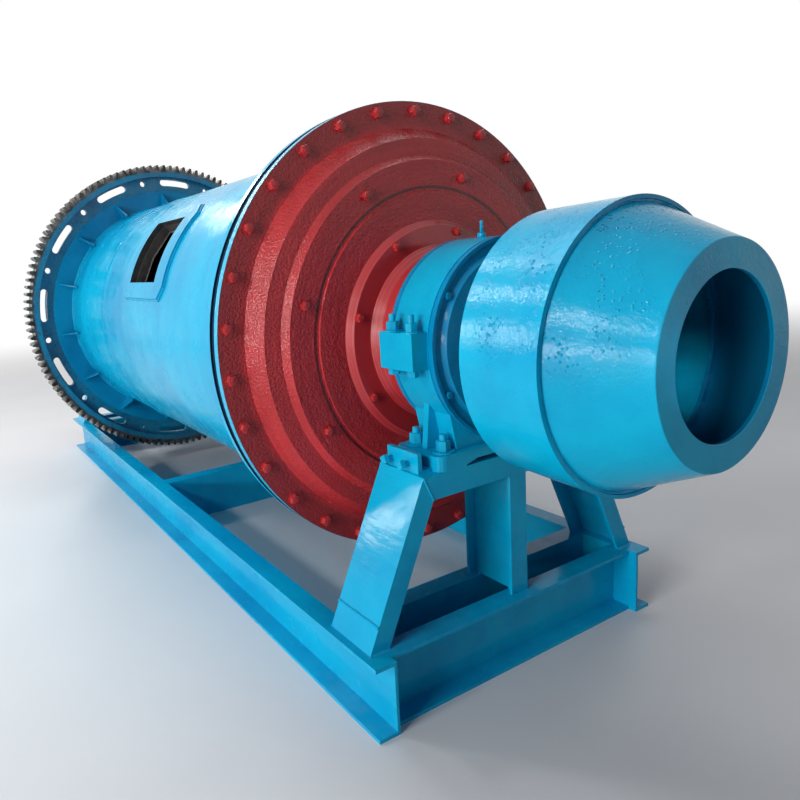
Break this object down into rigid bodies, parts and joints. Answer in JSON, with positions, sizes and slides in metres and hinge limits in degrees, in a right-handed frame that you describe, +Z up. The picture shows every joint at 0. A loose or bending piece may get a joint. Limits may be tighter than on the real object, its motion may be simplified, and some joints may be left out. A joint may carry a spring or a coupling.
{
  "type": "ball mill",
  "caption": "Horizontal ball mill: plate drum with stepped end heads, ring gear, manhole and drum feeder, turning in two bearings on a channel base frame.",
  "frame": {"origin": "on the floor under the middle of the whole mill", "axes": "+X along the mill axis towards the feeder, +Y across the mill away from the manhole side, +Z up"},
  "size_m": [4.607, 1.848, 1.9489],
  "materials": {
    "blue_paint": "gloss",
    "dark_blue_paint": "gloss",
    "red_paint": "gloss",
    "machined_steel": "turned and greased",
    "gear_steel": "greasy teeth, painted web",
    "liner_steel": "rough",
    "packing": "matt"
  },
  "bodies": {
    "frame": {"side_channel_left": "blue_paint", "side_channel_right": "blue_paint", "feed_cross_channels": "blue_paint", "mid_cross_channel": "blue_paint", "discharge_cross_channels": "blue_paint", "feed_stand_leg_left": "blue_paint", "feed_stand_leg_right": "blue_paint", "feed_stand_top": "blue_paint", "feed_stand_post": "blue_paint", "discharge_stand_leg_left": "blue_paint", "discharge_stand_leg_right": "blue_paint", "discharge_stand_top": "blue_paint", "discharge_stand_post": "blue_paint", "feed_bearing_base": "blue_paint", "feed_bearing_cap": "blue_paint", "feed_bearing_covers": "dark_blue_paint", "feed_jack_plates": "blue_paint", "feed_eye_bolt": "blue_paint", "discharge_bearing_base": "blue_paint", "discharge_bearing_cap": "blue_paint", "discharge_bearing_covers": "dark_blue_paint", "discharge_jack_plates": "blue_paint", "discharge_eye_bolt": "blue_paint"},
    "drum": {"shell": "blue_paint", "shell_liner": "liner_steel", "feed_end_liner": "liner_steel", "discharge_end_liner": "liner_steel", "feed_shell_flange": "blue_paint", "discharge_shell_flange": "blue_paint", "manhole_frame": "blue_paint", "feed_packing": "packing", "discharge_packing": "packing", "feed_head": "red_paint", "discharge_head": "red_paint", "feed_trunnion": "machined_steel", "discharge_trunnion": "machined_steel", "ring_gear": "gear_steel", "gear_flange": "blue_paint", "feeder_back_plate": "blue_paint", "feeder_drum": "blue_paint", "feeder_rim_plate": "dark_blue_paint", "feeder_cone": "blue_paint", "feeder_end_plate": "blue_paint"}
  },
  "joints": [
    {"name": "drum_turn", "type": "hinge", "parent": "frame", "child": "drum", "pos_m": [1.5925, 0, 1.025], "axis": [1, 0, 0], "continuous": true}
  ]
}
